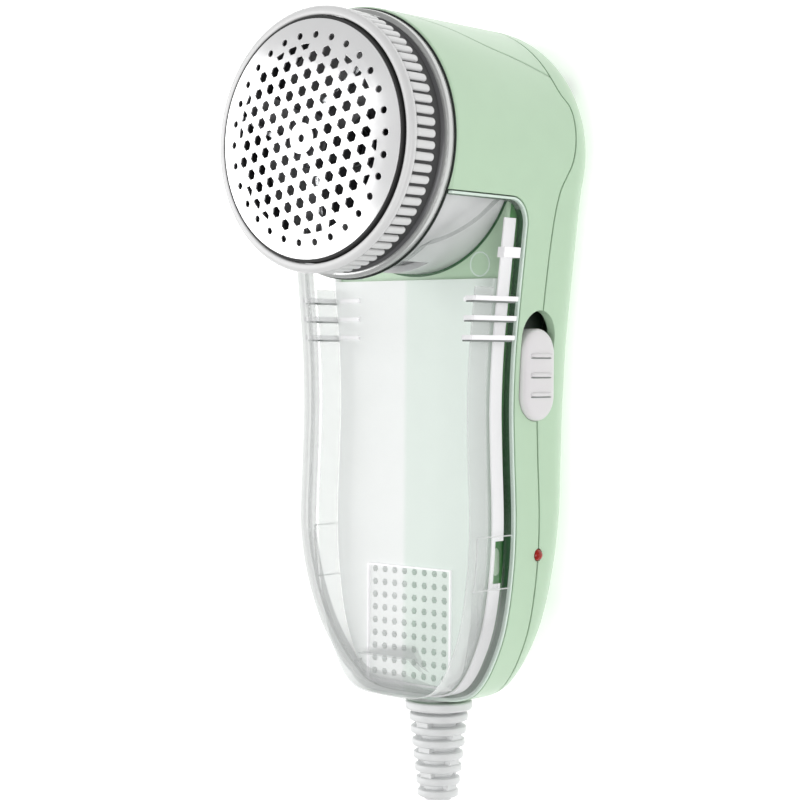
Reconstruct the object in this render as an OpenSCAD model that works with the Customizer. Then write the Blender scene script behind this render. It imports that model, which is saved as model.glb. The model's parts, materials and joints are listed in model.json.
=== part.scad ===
// Corded fabric shaver, lying on its back: the round cutting head faces +Z at the +Y end,
// the handle runs to -Y and carries the clear lint tank on its front.
// The origin is on the resting plane, under the middle of the shaver's length.

/* [Head] */
// Outer radius of the round head
head_r = 31.5; // [31.3:0.1:32.5]
// Radius of the part of the shaving screen that shows
screen_r = 27; // [26:0.5:27]
// Rise of the screen's dome from its rim to its middle
screen_rise = 2.7; // [1.5:0.1:3.5]
// Distance between neighbouring screen holes
hole_pitch = 4; // [3.6:0.1:4.4]
// Width of a hexagonal screen hole across its corners
hole_w = 2.7; // [2.2:0.1:3]
// Number of grip bars around the lock ring
grip_bars = 72; // [60:4:80]

/* [Body] */
// Distance from the resting plane to the front of the head's green shell
barrel_top = 56.5; // [56:0.5:58]
// Height of the handle shell's front rim
rim_z = 28; // [27.5:0.5:28.5]
// Height of the clear tank's front face
tank_front = 52.5; // [50:0.5:53]
// Thickness of the moulded housing walls
wall = 2.2; // [1.8:0.1:2.4]
// Radius of the rounding between the sides and the back
back_round = 12; // [10:0.5:12.5]
// Travel of the side switch
switch_travel = 4; // [3:0.5:4.5]

/* [Cord] */
// Diameter of the mains cord
cord_d = 5; // [4.5:0.5:5.5]

/* [Hidden] */
$fn = 64;

head_y = 62.5;
far = 200;
gap = 0.1;

// Colours
green = [0.75, 0.87, 0.74];
white = [0.93, 0.93, 0.92];
grey = [0.70, 0.71, 0.70];
steel = [0.80, 0.81, 0.82];
copper = [0.72, 0.42, 0.22];
clear = [0.88, 0.93, 0.90, 0.35];

// Right side of the shell seen from the front: [x, y] from the cord end up to the neck
side_points = [[0, -69.3], [8, -69], [13, -67.6], [16.5, -64.8], [20, -59.4], [23.5, -50.4],
    [25.6, -38], [26.3, -25], [25.7, -9], [25.4, 3], [25.9, 15], [26.9, 25], [27.9, 34],
    [28.8, 42], [29.6, 49]];
// Side edge of the top cover: [x, z] from the head's front to its back edge
cover_points = [[9, 58], [14.5, 45], [20.5, 35], [23.4, 25], [26, 15]];
// Seam between the front and rear shells: [y, z] from the cord end to the head's top
seam_points = [[-80, 18.4], [-30, 18.4], [10, 18.4], [38, 18], [52, 16.5], [60, 13], [67, 11.7],
    [73, 12], [79, 15], [100, 15]];
back_lift = 7.2;
front_drop = 8.5;
platform_z = 32.5;
platform_inset = 2.6;
platform_wall = 2.8;
platform_half_w = 22.7;
groove_h = 1.4;
bay_end = 50;
bay_round = 6;

function spline_point(a, b, c, d, t) =
    0.5 * (2 * b + (c - a) * t + (2 * a - 5 * b + 4 * c - d) * t * t
        + (3 * b - a - 3 * c + d) * t * t * t);
function spline(p, steps) =
    [for (i = [0:len(p) - 2], k = [0:steps - 1])
        spline_point(p[max(i - 1, 0)], p[i], p[i + 1], p[min(i + 2, len(p) - 1)], k / steps)];

neck_angle = -16;
arc_step = 8;
half = concat(
    spline(side_points, 3),
    [side_points[len(side_points) - 1]],
    [for (a = [neck_angle:arc_step:88]) [head_r * cos(a), head_y + head_r * sin(a)]],
    [[0, head_y + head_r]]);
count = 2 * len(half) - 2;
outline = [for (j = [0:count - 1])
    j < len(half) ? half[j] : [-half[count - j][0], half[count - j][1]]];
function unit(v) = v / norm(v);
normals = [for (j = [0:count - 1])
    let (t = unit(outline[(j + 1) % count] - outline[(j + count - 1) % count])) [t[1], -t[0]]];
// The outline moved in by d
function plan(d) = [for (j = [0:count - 1]) outline[j] - d * normals[j]];
// The platform's outline, kept narrow enough for the tank to slide off over it
function platform_plan(d) =
    let (limit = platform_half_w + platform_inset - d)
    [for (p = plan(d)) [p[1] < 3 ? max(-limit, min(limit, p[0])) : p[0], p[1]]];
// Rise of the back, and fall of the tank's front, towards the cord end
function back_z(y) = back_lift * pow(max(0, min(1, (8 - y) / 71)), 1.3);
function front_z(y) = tank_front - front_drop * pow(max(0, min(1, (-25 - y) / 40)), 1.6);

// Closed solid through rings of points, each ring one copy of the outline
module loft(rings) {
    n = count;
    h = len(half);
    last = (len(rings) - 1) * n;
    points = [for (ring = rings) each ring];
    sides = [for (k = [0:len(rings) - 2], j = [0:n - 1])
        [k * n + j, (k + 1) * n + j, (k + 1) * n + (j + 1) % n, k * n + (j + 1) % n]];
    strips = [for (j = [0:h - 2])
        j == 0 ? [0, 1, n - 1] : j == h - 2 ? [j, j + 1, n - j] : [j, j + 1, n - j - 1, n - j]];
    bottoms = strips;
    tops = [for (s = strips) [for (i = [len(s) - 1:-1:0]) s[i] + last]];
    polyhedron(points, concat(sides, bottoms, tops), convexity = 6);
}

// One ring of the rounded back, t inside the outer skin, at angle a round the edge
function back_ring(t, a) =
    let (in = t + (back_round - t) * (1 - cos(a)))
    [for (j = [0:count - 1])
        let (p = outline[j] - in * normals[j])
        [p[0], p[1], back_z(outline[j][1]) + t + (back_round - t) * (1 - sin(a))]];
skin_angles = [90, 70, 52, 35, 18, 0];
inner_angles = [90, 60, 30, 0];
function level_ring(d, z) = [for (p = plan(d)) [p[0], p[1], z]];
module back_solid(t, top, angles) {
    loft(concat([for (a = angles) back_ring(t, a)], [level_ring(t, top)]));
}

// One ring of the tank's rounded front edge, t inside its outer skin
tank_round = 11;
tank_draft = 0.6;
function tank_ring(t, a) =
    let (in = gap + tank_draft + t + (tank_round - t) * (1 - cos(a)),
        down = t + (tank_round - t) * (1 - sin(a)))
    [for (j = [0:count - 1])
        let (p = outline[j] - in * normals[j])
        [p[0], p[1], front_z(outline[j][1]) - down]];
module tank_solid(t, bottom) {
    loft(concat([level_ring(gap + t, bottom)], [for (a = [0, 18, 36, 54, 72, 90]) tank_ring(t, a)]));
}

// Evaluates a smooth shell and everything cut from it as one mesh
module one_mesh() {
    resize([0, 0, 0]) children();
}

module prism(d, low, high) {
    translate([0, 0, low]) linear_extrude(high - low) polygon(plan(d));
}
module platform_prism(d, low, high) {
    translate([0, 0, low]) linear_extrude(high - low) polygon(platform_plan(d));
}
// Extrudes a [y, z] outline right across the shaver
module across(points) {
    rotate([90, 0, 90]) translate([0, 0, -far / 2]) linear_extrude(far) polygon(points);
}
// Extrudes an [x, z] outline along the shaver from y = low to y = high
module along(points, low, high) {
    translate([0, high, 0]) rotate([90, 0, 0]) linear_extrude(high - low) polygon(points);
}
module tube(outer, inner, low, high) {
    translate([0, 0, low]) difference() {
        cylinder(r = outer, h = high - low);
        translate([0, 0, -1]) cylinder(r = inner, h = high - low + 2);
    }
}
module at_head() {
    translate([0, head_y, 0]) children();
}

// Everything below the seam between the shells, raised by lift
module below_seam(lift) {
    seam = concat(spline(seam_points, 3), [seam_points[len(seam_points) - 1]]);
    across(concat([[100, -10], [-80, -10]], [for (p = seam) [p[0], p[1] + lift]]));
}
// The bay that the tank slides in, with its rounded inner corner, grown by extra
module bay(extra) {
    corner = [bay_end - bay_round, rim_z + bay_round];
    r = bay_round + extra;
    across(concat([[-far, rim_z - extra]],
        [for (a = [0:15:90]) corner + r * [sin(a), -cos(a)]],
        [[bay_end + extra, far], [-far, far]]));
}
// The leaf-shaped field of the top cover, widened by extra
module leaf(extra) {
    edge = concat(spline(cover_points, 3), [cover_points[len(cover_points) - 1]]);
    right = [for (p = edge) [p[0] + extra, p[1] - (p[1] < 16 ? extra : 0)]];
    left = [for (i = [len(right) - 1:-1:0]) [-right[i][0], right[i][1]]];
    along(concat(right, left), head_y, head_y + 2 * head_r);
}

// Screws that close the two shells: [x, y] in the handle and in the head
handle_screws = [[-16, -46], [16, -46], [-16.6, 27.4], [14.9, 27.6]];
duct_screws = [[-19, 79], [19, 79]];
boss_r = 3.8;
pilot_r = 1.5;
screw_r = 1.4;
screw_l = 16;
screw_head_r = 2.6;
screw_head_h = 1.8;
boss_z = 18;
// Height of the floor that a screw's head bears on
function screw_floor(y) = back_z(y) + 6.5;

// Opening for the switch knob in the right side, and the window for the lamp
switch_y = 11.8;
switch_z = 19.2;
switch_slot_r = 6.4;
switch_slot_l = 26.2;
module capsule_x(r, length, low, high) {
    spread = length / 2 - r;
    translate([low, switch_y, switch_z]) rotate([90, 0, 90]) linear_extrude(high - low) hull() {
        translate([-spread, 0]) circle(r, $fn = 32);
        translate([spread, 0]) circle(r, $fn = 32);
    }
}
module switch_slot() {
    translate([0, (switch_travel - 4) / 2, 0])
        capsule_x(switch_slot_r, switch_slot_l + switch_travel - 4, 20, 32);
}
lamp_y = -33;
lamp_z = 18.4;
lamp_r = 1.4;
module lamp_window() {
    translate([18, lamp_y, lamp_z]) rotate([0, 90, 0]) cylinder(r = lamp_r + 0.15, h = 20, $fn = 24);
}

// The cord's passage through the end wall
cord_z = 23.5;
relief_neck_r = 4;
module relief_hole(r, low, high) {
    translate([0, high, cord_z]) rotate([90, 0, 0]) cylinder(r = r, h = high - low, $fn = 48);
}

module rear_housing() {
    color(green) one_mesh() difference() {
        union() {
            difference() {
                back_solid(0, rim_z, skin_angles);
                back_solid(wall, rim_z + 1, inner_angles);
            }
            intersection() {
                back_solid(wall / 2, rim_z, inner_angles);
                union() {
                    for (p = concat(handle_screws, duct_screws))
                        translate([p[0], p[1], 0]) cylinder(r = boss_r, h = boss_z, $fn = 24);
                    at_head() tube(14.6, 13.2, 0, 6, $fn = 48);
                    // ribs that carry the circuit board
                    for (y = [-30, 13]) translate([-12, y, 0]) cube([24, 1.6, board_z]);
                }
            }
        }
        for (p = concat(handle_screws, duct_screws)) translate([p[0], p[1], 0]) {
            translate([0, 0, -1]) cylinder(r = screw_r + 0.1, h = 30, $fn = 24);
            translate([0, 0, -1]) cylinder(r = screw_head_r + 0.2, h = 1 + screw_floor(p[1]), $fn = 24);
        }
        difference() {
            prism(-1, 10, far);
            below_seam(-gap / 2);
        }
        switch_slot();
        lamp_window();
        relief_hole(relief_neck_r + 0.1, -80, -60);
    }
}

module front_housing() {
    color(green) one_mesh() difference() {
        union() {
            difference() {
                prism(0, 10, barrel_top);
                prism(wall, 0, far);
                bay(0);
                leaf(gap / 2);
            }
            intersection() {
                difference() {
                    union() {
                        prism(wall / 2, rim_z - 2, rim_z);
                        platform_prism(platform_inset, rim_z, platform_z);
                    }
                    platform_prism(platform_inset + platform_wall, rim_z - 3, platform_z - 2);
                }
                bay(4);
            }
            for (p = handle_screws)
                translate([p[0], p[1], boss_z + 0.2])
                    cylinder(r = boss_r, h = platform_z - 1 - boss_z, $fn = 24);
            for (s = [-1, 1])
                translate([s * clamp_screw_x, clamp_y, clamp_top + gap])
                    cylinder(r = 3, h = platform_z - 1 - clamp_top, $fn = 24);
            catches();
        }
        tank_groove();
        at_head() cylinder(r = duct_r + 0.2, h = far, $fn = 120);
        for (p = handle_screws)
            translate([p[0], p[1], 0]) cylinder(r = pilot_r, h = platform_z - 3, $fn = 24);
        for (s = [-1, 1])
            translate([s * clamp_screw_x, clamp_y, 0]) cylinder(r = pilot_r, h = platform_z - 2.5, $fn = 24);
        below_seam(gap / 2);
        switch_slot();
        lamp_window();
        relief_hole(relief_neck_r + 0.1, -80, -60);
    }
}

// Groove at the foot of the platform that the tank's hooks run in
module tank_groove() {
    difference() {
        platform_prism(platform_inset - 0.6, rim_z + 0.01, rim_z + groove_h);
        platform_prism(platform_inset + 1.2, rim_z - 1, rim_z + groove_h + 1);
        translate([-far / 2, 49.5 - bay_round, 0]) cube([far, far, far]);
    }
}
// Low catches on the platform's sides that the tank snaps over
catch_y = -34;
module catches() {
    for (s = [-1, 1])
        translate([s * (platform_half_w - 1), catch_y, rim_z + 2.6])
            rotate([90, 0, 90 * s]) linear_extrude(1.3) hull() {
                translate([-2, 0]) circle(1.3, $fn = 24);
                translate([2, 0]) circle(1.3, $fn = 24);
            }
}

module top_cover() {
    color(green) one_mesh() difference() {
        intersection() {
            prism(0, seam_points[8][1] - 1, barrel_top);
            leaf(-gap / 2);
        }
        prism(wall, 0, far);
        below_seam(gap / 2);
    }
}

// Lint duct: a cup under the cutter whose floor carries the motor
duct_r = 29;
duct_wall = 1.6;
duct_foot = 31;
duct_floor = 37;
duct_floor_t = 2.5;
port_w = 22;
port_low = 41.5;
port_high = 51;
motor_boss_r = 5;
motor_screw_x = 8;
module lint_duct() {
    color(grey) difference() {
        union() {
            at_head() tube(duct_r, duct_r - duct_wall, duct_foot, barrel_top);
            at_head() translate([0, 0, duct_floor]) cylinder(r = duct_r - duct_wall / 2, h = duct_floor_t);
            for (p = duct_screws)
                translate([p[0], p[1], boss_z + 0.2])
                    cylinder(r = boss_r, h = duct_floor - boss_z + 1, $fn = 32);
        }
        at_head() translate([0, 0, duct_floor - 1]) cylinder(r = motor_boss_r + 0.2, h = 5);
        for (s = [-1, 1])
            at_head() translate([s * motor_screw_x, 0, duct_floor - 1]) cylinder(r = screw_r + 0.1, h = 5);
        for (p = duct_screws) translate([p[0], p[1], 0]) cylinder(r = pilot_r, h = duct_floor);
        translate([-port_w / 2, head_y - duct_r - 1, port_low]) cube([port_w, 6, port_high - port_low]);
    }
}

// Glossy flange under the lock ring, with the neck that the ring screws on
flange_r = screen_r + 4;
neck_r = screen_r + 1.5;
flange_t = 2.5;
flange_top = barrel_top + flange_t;
screen_rim_z = 70.5;
brim_z = screen_rim_z - 3.2;
module head_flange() {
    color(white) at_head() {
        tube(flange_r, neck_r - 2.2, barrel_top, flange_top);
        tube(neck_r, neck_r - 2.2, flange_top, brim_z - gap);
    }
}

// Motor, on the head's axis
can_r = 14;
can_low = 7;
can_high = 37;
cap_low = 3.2;
cap_floor = 6;
brush_z = 8.6;
shaft_r = 1.15;
bush_r = 3;
module motor_can() {
    color(steel) at_head() {
        tube(can_r, can_r - 1, can_low, can_high - 1);
        difference() {
            translate([0, 0, can_high - 1]) cylinder(r = can_r, h = 1);
            translate([0, 0, can_high - 2]) cylinder(r = bush_r, h = 3);
            for (s = [-1, 1])
                translate([s * motor_screw_x, 0, can_high - 2]) cylinder(r = screw_r, h = 3);
        }
    }
}
module motor_end_cap() {
    color([0.15, 0.15, 0.16]) at_head() {
        tube(can_r - 1, bush_r, cap_low, cap_floor);
        tube(can_r - 1, can_r - 3, cap_floor, can_low + 1);
        tube(4, bush_r, cap_floor, can_low + 1);
        // rests under the brushes
        for (turn = [0, 180]) rotate(turn) translate([5, -2, cap_floor]) cube([5.8, 4, brush_z - cap_floor]);
    }
}
module motor_bushings() {
    color(copper) at_head() {
        tube(bush_r, shaft_r + 0.03, can_high - 1, can_high + 1.4);
        tube(bush_r, shaft_r + 0.03, 3.6, 6);
    }
}
magnet_low = 11;
magnet_h = 22;
magnet_t = 1.7;
magnet_span = 130;
module motor_magnets() {
    color([0.25, 0.25, 0.27]) at_head() for (turn = [0, 180]) rotate(turn)
        translate([0, 0, magnet_low]) rotate_extrude(angle = magnet_span)
            translate([can_r - 1.1 - magnet_t, 0]) square([magnet_t, magnet_h]);
}
module motor_brushes() {
    color([0.75, 0.55, 0.3]) at_head() for (turn = [0, 180]) rotate(turn)
        translate([3.5, -1, brush_z]) cube([6.5, 2, 2]);
}
module motor_screws() {
    color(steel) at_head() for (s = [-1, 1])
        translate([s * motor_screw_x, 0, 0]) {
            translate([0, 0, duct_floor + duct_floor_t]) cylinder(r = 2.4, h = 1.4);
            translate([0, 0, can_high - 3]) cylinder(r = screw_r, h = duct_floor + duct_floor_t - can_high + 3);
        }
}
shaft_low = 4;
shaft_l = 64;
module motor_shaft() {
    color(steel) at_head() translate([0, 0, shaft_low]) cylinder(r = shaft_r, h = shaft_l);
}
poles = 5;
core_r = 10.8;
core_low = 14;
core_h = 16;
tooth_w = 2;
module armature_core() {
    color([0.45, 0.46, 0.48]) at_head() translate([0, 0, core_low]) linear_extrude(core_h) difference() {
        union() {
            circle(4);
            for (k = [1:poles]) rotate(k * 360 / poles) {
                translate([0, -tooth_w / 2]) square([core_r - 0.8, tooth_w]);
                intersection() {
                    difference() {
                        circle(core_r);
                        circle(core_r - 1.4);
                    }
                    polygon([[0, 0], [12, -6.6], [14, 0], [12, 6.6]]);
                }
            }
        }
        circle(shaft_r);
    }
}
winding_w = 4.2;
winding_t = 1.4;
module armature_windings() {
    side = tooth_w / 2 + 0.05;
    color(copper) at_head() for (k = [1:poles]) rotate(k * 360 / poles)
        for (start = [side, -side - winding_t])
            translate([4.6, start, core_low - 1]) cube([winding_w, winding_t, core_h + 2]);
}
module commutator() {
    color(copper) at_head() tube(3.4, shaft_r, can_low + 1.2, 12.4);
}
fan_low = 42;
fan_r = 21.5;
fan_blades = 8;
module fan_impeller() {
    color(grey) at_head() {
        tube(5, shaft_r, fan_low, fan_low + 8);
        tube(fan_r, 4.9, fan_low, fan_low + 1.4);
        for (k = [1:fan_blades]) rotate(k * 360 / fan_blades)
            translate([4.8, -0.6, fan_low + 1.3]) cube([fan_r - 5.4, 1.2, 5.8]);
    }
}

// Cutter: a hexagonal dog on the shaft, and a sprung hub that slides on it
dog_low = 50.6;
dog_r = 3.4;
hub_low = 61.6;
hub_r = 6.4;
cutter_gap = 0.3;
screen_t = 0.4;
press_travel = 1.2;
dome_r = (screen_r * screen_r + screen_rise * screen_rise) / (2 * screen_rise);
dome_z = screen_rim_z + screen_rise - dome_r;
module dome(inset) {
    translate([0, 0, dome_z]) sphere(r = dome_r - inset, $fn = 180);
}
module drive_dog() {
    color(white) at_head() difference() {
        union() {
            translate([0, 0, dog_low]) cylinder(r = 6, h = 1.6);
            translate([0, 0, dog_low]) cylinder(r = dog_r, h = 18, $fn = 6);
        }
        translate([0, 0, dog_low - 1]) cylinder(r = shaft_r, h = 30);
    }
}
spring_r = 4.9;
spring_wire = 0.4;
spring_low = dog_low + 1.6;
module cutter_spring() {
    turns = 5;
    sides = 6;
    steps = turns * 14;
    low = spring_low + spring_wire;
    rise = hub_low - spring_wire - low;
    points = [for (i = [0:steps], k = [0:sides - 1])
        let (a = 360 * turns * i / steps, b = 360 * k / sides,
            r = spring_r + spring_wire * cos(b))
        [r * cos(a), r * sin(a), low + rise * i / steps + spring_wire * sin(b)]];
    skin = [for (i = [0:steps - 1], k = [0:sides - 1])
        let (m = (k + 1) % sides)
        [i * sides + k, (i + 1) * sides + k, (i + 1) * sides + m, i * sides + m]];
    color(steel) at_head() polyhedron(points, concat(skin,
        [[for (k = [0:sides - 1]) k]], [[for (k = [sides - 1:-1:0]) steps * sides + k]]));
}
arm_angles = [35, 155, 275];
arm_low = 66.3;
arm_t = 2;
arm_end = 25.4;
module cutter_hub() {
    color(grey) at_head() difference() {
        union() {
            translate([0, 0, hub_low]) cylinder(r = hub_r, h = 10.2);
            for (a = arm_angles) rotate(a)
                translate([3, -4, arm_low]) cube([arm_end - 3, 8, arm_t]);
            tube(arm_end, arm_end - 2, arm_low, arm_low + arm_t);
        }
        translate([0, 0, hub_low - 1]) cylinder(r = dog_r + 0.08, h = 9.6, $fn = 6);
    }
}
module cutter_blades() {
    color(steel) at_head() intersection() {
        for (a = arm_angles) rotate(a)
            translate([hub_r + 0.2, 2.6, arm_low + arm_t]) cube([arm_end - hub_r - 0.8, 0.9, 8]);
        dome(screen_t + cutter_gap);
    }
}

// Shaving screen: hexagonal holes on a turned lattice, a plain middle, and a rim of round holes
field_r = 21.3;
middle_r = 3.5;
rim_hole_r = 0.8;
rim_holes = 30;
rim_hole_ring_r = 23.3;
lattice_turn = 12;
brim_r = neck_r - 0.1;
brim_t = 0.6;
module screen_holes() {
    rows = ceil(field_r / hole_pitch) + 2;
    intersection() {
        rotate(lattice_turn) for (i = [-rows:rows], j = [-rows:rows])
            let (x = hole_pitch * (i + j / 2), y = hole_pitch * j * sin(60), r = norm([x, y]))
            if (r > middle_r && r < field_r + hole_w / 3)
                translate([x, y]) circle(hole_w / 2, $fn = 6);
        difference() {
            circle(field_r);
            circle(middle_r);
        }
    }
    for (k = [1:rim_holes]) rotate(k * 360 / rim_holes) translate([rim_hole_ring_r, 0])
        circle(rim_hole_r, $fn = 16);
    circle(0.9, $fn = 16);
}
module shaving_screen() {
    color(steel) at_head() {
        tube(brim_r, screen_r - screen_t, brim_z, brim_z + brim_t);
        difference() {
            intersection() {
                translate([0, 0, brim_z + brim_t]) cylinder(r = screen_r, h = 8);
                dome(0);
            }
            intersection() {
                translate([0, 0, brim_z - 1]) cylinder(r = screen_r - screen_t, h = 9);
                dome(screen_t);
            }
            translate([0, 0, screen_rim_z - 2]) linear_extrude(8) screen_holes();
        }
    }
}
module screen_gasket() {
    color([0.05, 0.05, 0.05]) at_head()
        tube(screen_r + 0.85, screen_r + 0.02, brim_z + brim_t, screen_rim_z - 1.2);
}

// Lock ring with grip bars, a groove below them and a lip over the screen's brim
ring_r = screen_r + 3;
ring_low = flange_top + 0.2;
grip_low = 61.8;
grip_high = 68.4;
ring_top = screen_rim_z - 0.7;
lip_r = screen_r + 0.9;
lip_low = brim_z + brim_t + gap;
bore_r = neck_r + 0.1;
module lock_ring() {
    color(white) at_head() {
        difference() {
            union() {
                translate([0, 0, ring_low])
                    cylinder(r = ring_r - 0.8, h = ring_top - 1.2 - ring_low, $fn = 240);
                translate([0, 0, ring_top - 1.5])
                    cylinder(r1 = ring_r + 0.1, r2 = ring_r - 0.9, h = 1.5, $fn = 240);
                translate([0, 0, grip_low]) linear_extrude(grip_high - grip_low) grip_outline();
            }
            translate([0, 0, ring_low - 1]) cylinder(r = bore_r, h = lip_low - ring_low + 1, $fn = 240);
            translate([0, 0, ring_low - 1]) cylinder(r = lip_r, h = 20, $fn = 240);
        }
    }
}
module grip_outline() {
    step = 360 / grip_bars;
    low = ring_r - 0.7;
    polygon([for (k = [0:grip_bars - 1], q = [[low, 0.04], [ring_r, 0.16], [ring_r, 0.78], [low, 0.9]])
        q[0] * [cos((k + q[1]) * step), sin((k + q[1]) * step)]]);
}

// Clear lint tank: a front shell whose skirt sits over the platform, and a frosted back panel
tank_wall = 1.8;
hook_y = 36;
rib_pitch = 4.5;
tank_back_z = platform_z + 0.7;
tank_back_t = 1.6;
mouth_y = 32;
notch_r = 9;
module bowl_clear(extra) {
    at_head() cylinder(r = duct_r + extra, h = far, $fn = 120);
}
module lint_tank() {
    color(clear) one_mesh() union() {
        intersection() {
            difference() {
                tank_solid(0, rim_z - 4);
                tank_solid(tank_wall, rim_z - 5);
                bowl_clear(0.5);
                relief_hole(notch_r, -90, -50);
                // slanted upper edge beside the duct
                across([[38, far], [38, tank_front + 1], [bay_end + 2, rim_z + 7], [far, rim_z + 7],
                    [far, far]]);
                for (s = [-1, 1])
                    translate([s * 25 - 3, catch_y - 6.5, rim_z + 1.2]) cube([6, 13, 3.2]);
            }
            bay(-0.2);
        }
        for (s = [-1, 1]) {
            for (k = [0:2])
                hook_rib(s, 27.3 - rib_pitch * k);
            // Hooks that run in the platform's groove
            intersection() {
                difference() {
                    prism(gap + 1, rim_z + 0.3, rim_z + 1.1);
                    prism(3.1, 0, far);
                }
                translate([s > 0 ? 0 : -far, hook_y - 3, 0]) cube([far, 6, far]);
            }
        }
    }
}
// Grip rib wrapped on one side of the tank at height y
module hook_rib(side, y) {
    intersection() {
        difference() {
            tank_solid(-0.8, rim_z + 1);
            tank_solid(0.6, rim_z);
        }
        translate([side > 0 ? 0 : -far, y - 0.6, rim_z + 1.2]) cube([far, 1.2, 15]);
    }
}
module tank_back() {
    color([0.92, 0.95, 0.93, 0.8]) difference() {
        prism(gap + tank_wall + 1, tank_back_z, tank_back_z + tank_back_t);
        translate([-far / 2, mouth_y, 0]) cube([far, far, far]);
        at_head() cylinder(r = duct_r + 0.6, h = far);
        vent_slots();
    }
}
// Rows of vent holes near the tank's end
vent_rows = 9;
vent_columns = 8;
vent_pitch = 3.1;
vent_y = -50;
vent_r = 0.9;
module vent_slots() {
    for (i = [0:vent_columns - 1], j = [0:vent_rows - 1])
        translate([(i - (vent_columns - 1) / 2) * vent_pitch,
            vent_y + (j - (vent_rows - 1) / 2) * vent_pitch, tank_back_z - 1])
            cylinder(r = vent_r, h = 4, $fn = 6);
}

// Switch: a ribbed knob in the side slot, its plate behind the wall, and the switch it works
knob_r = 6;
knob_l = 21.8;
knob_face = 27.2;
module switch_knob() {
    rest = [0, -(switch_slot_l - knob_l - 4) / 2 - 2 + 0.1, 0];
    color(grey) translate(rest) {
        capsule_x(knob_r, knob_l, 22, knob_face - 0.7);
        capsule_x(knob_r - 1.2, knob_l - 2.4, knob_face - 0.7, knob_face);
        translate([21, switch_y - 17, switch_z - 6.8]) cube([1.2, 34, 13.4]);
        translate([16, switch_y - 2, switch_z - 1.5]) cube([5, 4, 3]);
        for (k = [-1:1]) translate([knob_face, switch_y + k * 4.6 - 0.5, switch_z - 4]) cube([0.7, 1, 8]);
    }
}
board_z = 10;
board_t = 1.6;
board_x = [-14, 18];
board_y = [-38, 20];
switch_body_l = 20;
module switch_body() {
    color([0.2, 0.2, 0.22]) difference() {
        translate([8, switch_y - switch_body_l / 2, board_z + board_t]) cube([9.8, switch_body_l, 12]);
        translate([15, switch_y - 8, switch_z - 2]) cube([5, 16, 4]);
    }
}
module circuit_board() {
    color([0.16, 0.42, 0.24]) translate([board_x[0], board_y[0], board_z])
        cube([board_x[1] - board_x[0], board_y[1] - board_y[0], board_t]);
}
capacitor_h = 14;
module film_capacitor() {
    color([0.75, 0.2, 0.12]) translate([-10, -30, board_z + board_t]) cube([9, 18, capacitor_h]);
}
module filter_capacitor() {
    color([0.12, 0.16, 0.3]) translate([-7, -2, board_z + board_t]) cylinder(r = 5, h = capacitor_h);
}
diode_r = 1.25;
diode_pitch = 3.6;
module diodes() {
    color([0.1, 0.1, 0.1]) for (k = [0:3])
        translate([4 + diode_pitch * k, -24, board_z + board_t + diode_r + 0.05])
            rotate([-90, 0, 0]) cylinder(r = diode_r, h = 5);
}
module led_lamp() {
    color([0.85, 0.06, 0.03]) {
        translate([19, lamp_y, lamp_z]) rotate([0, 90, 0]) cylinder(r = lamp_r, h = 6.6);
        translate([25.6, lamp_y, lamp_z]) sphere(r = lamp_r);
        translate([18, lamp_y, lamp_z]) rotate([0, 90, 0]) cylinder(r = lamp_r + 0.5, h = 1);
    }
}

wire_sides = 6;
module wire(route, r) {
    sweep(route, r, wire_sides);
}
module lead_wires() {
    color([0.55, 0.12, 0.1]) {
        for (s = [-1, 1]) {
            wire([[s * 6, 17, 12.3], [s * 7, 24, 13.5], [s * 8, 34, 12.5], [s * 8, 42, 10.5],
                [s * 7, 49.9, 9]], 0.7);
            wire([[s * 1.1, -51.3, 23.5], [s * 2, -48, 22], [s * 3.5, -43, 17.5], [s * 4, -38, 13.6],
                [s * 4, -35, 12.5]], 0.9);
        }
        wire([[17.5, lamp_y, lamp_z], [15.5, -32.5, 15.5], [14, -31, 12]], 0.4);
    }
}

// Screw whose head bears on z = 0 from below
module screw(length) {
    difference() {
        translate([0, 0, -screw_head_h]) cylinder(r = screw_head_r, h = screw_head_h);
        translate([-2, -0.3, -2.4]) cube([4, 0.6, 1.6]);
        translate([-0.3, -2, -2.4]) cube([0.6, 4, 1.6]);
    }
    cylinder(r = screw_r, h = length);
}
module housing_screws() {
    color(steel) for (p = concat(handle_screws, duct_screws))
        translate([p[0], p[1], screw_floor(p[1])]) screw(screw_l);
}

// Clamp bar that holds the cord's sheath behind the strain relief
clamp_y = -56;
clamp_low = 18;
clamp_top = 23;
clamp_screw_x = 8;
sheath_r = 2.3;
module cord_clamp() {
    color(white) difference() {
        translate([-11, clamp_y - 3, clamp_low]) cube([22, 6, clamp_top - clamp_low]);
        relief_hole(sheath_r + 0.05, clamp_y - 5, clamp_y + 5);
        for (s = [-1, 1])
            translate([s * clamp_screw_x, clamp_y, clamp_low - 1]) cylinder(r = pilot_r, h = 8);
    }
}
module clamp_screws() {
    color(steel) for (s = [-1, 1]) translate([s * clamp_screw_x, clamp_y, clamp_low]) screw(11);
}

// Ribbed strain relief on the cord's axis
relief_y = -69.6;
relief_end = -94;
relief_ribs = 7;
relief_pitch = 3.1;
module relief_disc(r, start, end) {
    translate([0, start, cord_z]) rotate([90, 0, 0]) cylinder(r = r, h = start - end);
}
module strain_relief() {
    color(white) {
        relief_disc(sheath_r, -52, -61.5);
        relief_disc(6.6, -61, -63.6);
        relief_disc(relief_neck_r, -63.5, relief_y);
        relief_disc(8.2, relief_y, relief_y - 2.2);
        translate([0, relief_y - 2.1, cord_z]) rotate([90, 0, 0])
            cylinder(r1 = 4.6, r2 = 3.6, h = relief_y - 2.1 - relief_end);
        for (k = [0:relief_ribs - 1])
            relief_disc(7.2 - 0.36 * k, relief_y - 3.1 - relief_pitch * k, relief_y - 5 - relief_pitch * k);
    }
}

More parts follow.
